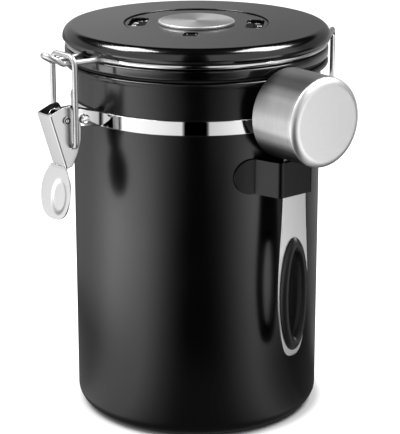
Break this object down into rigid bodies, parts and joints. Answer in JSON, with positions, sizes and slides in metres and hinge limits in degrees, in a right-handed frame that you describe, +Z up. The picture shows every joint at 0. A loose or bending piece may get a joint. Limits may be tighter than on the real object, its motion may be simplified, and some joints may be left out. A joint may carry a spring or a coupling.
{
  "type": "coffee canister",
  "caption": "Round black steel canister with a wire-hinged clamp lid, a date dial and gas valve in the lid, and a measuring scoop hung in a bridge on its wall.",
  "frame": {"origin": "middle of the flat base, on the surface that the canister stands on", "axes": "+Z up along the canister's axis, the clamp latch at -X, the lid's hinge at +X and the scoop at -Y"},
  "size_m": [0.1656, 0.1573, 0.1923],
  "materials": {
    "black_coat": "satin black coat",
    "polished_steel": "polished",
    "brushed_steel": "brushed",
    "black_plastic": "satin",
    "wheel_plastic": "matte with white numbers",
    "silicone": "matte",
    "grip_rubber": "satin",
    "filter_paper": "plain fibre"
  },
  "bodies": {
    "canister": {"canister_shell": "black_coat", "clamp_band": "polished_steel", "band_screw": "polished_steel", "band_spacer": "polished_steel", "band_nut": "polished_steel", "lever_pin": "polished_steel", "hinge_bracket": "polished_steel", "scoop_bridge": "black_coat"},
    "lid": {"lid_cover": "black_coat", "lid_gasket": "silicone", "lid_plug": "black_plastic", "lid_wire": "polished_steel", "dial_cover": "black_plastic", "valve_housing": "black_plastic", "valve_filter": "filter_paper", "valve_cap": "black_plastic"},
    "valve": {"valve_flap": "silicone"},
    "day_dial": {"day_wheel": "wheel_plastic"},
    "month_dial": {"month_wheel": "wheel_plastic", "dial_knob": "brushed_steel", "dial_retainer": "polished_steel"},
    "lever": {"latch_lever": "polished_steel"},
    "clamp": {"clamp_wire": "polished_steel"},
    "scoop": {"scoop_cup": "brushed_steel", "scoop_handle": "brushed_steel", "scoop_grip": "grip_rubber"}
  },
  "joints": [
    {"name": "lid_hinge", "type": "hinge", "parent": "canister", "child": "lid", "pos_m": [0.0715, 0, 0.15375], "axis": [0, 1, 0], "range_deg": [0, 105]},
    {"name": "lever_pivot", "type": "hinge", "parent": "canister", "child": "lever", "pos_m": [-0.0812, 0, 0.15645], "axis": [0, 1, 0], "range_deg": [0, 110]},
    {"name": "clamp_wire_pivot", "type": "hinge", "parent": "lever", "child": "clamp", "pos_m": [-0.0782, 0, 0.14395], "axis": [0, 1, 0], "range_deg": [-80, 0]},
    {"name": "month_dial_turn", "type": "hinge", "parent": "lid", "child": "month_dial", "pos_m": [0, 0, 0.1908], "axis": [0, 0, 1], "continuous": true},
    {"name": "day_dial_turn", "type": "hinge", "parent": "lid", "child": "day_dial", "pos_m": [0, 0, 0.1885], "axis": [0, 0, 1], "continuous": true},
    {"name": "valve_lift", "type": "slide", "parent": "lid", "child": "valve", "axis": [0, 0, 1], "range_m": [0, 0.0006]},
    {"name": "scoop_lift", "type": "slide", "parent": "canister", "child": "scoop", "axis": [0, 0, 1], "range_m": [0, 0.16]}
  ],
  "couplings": [
    {"joint": "clamp_wire_pivot", "follows": "lever_pivot", "ratio": -0.72}
  ]
}
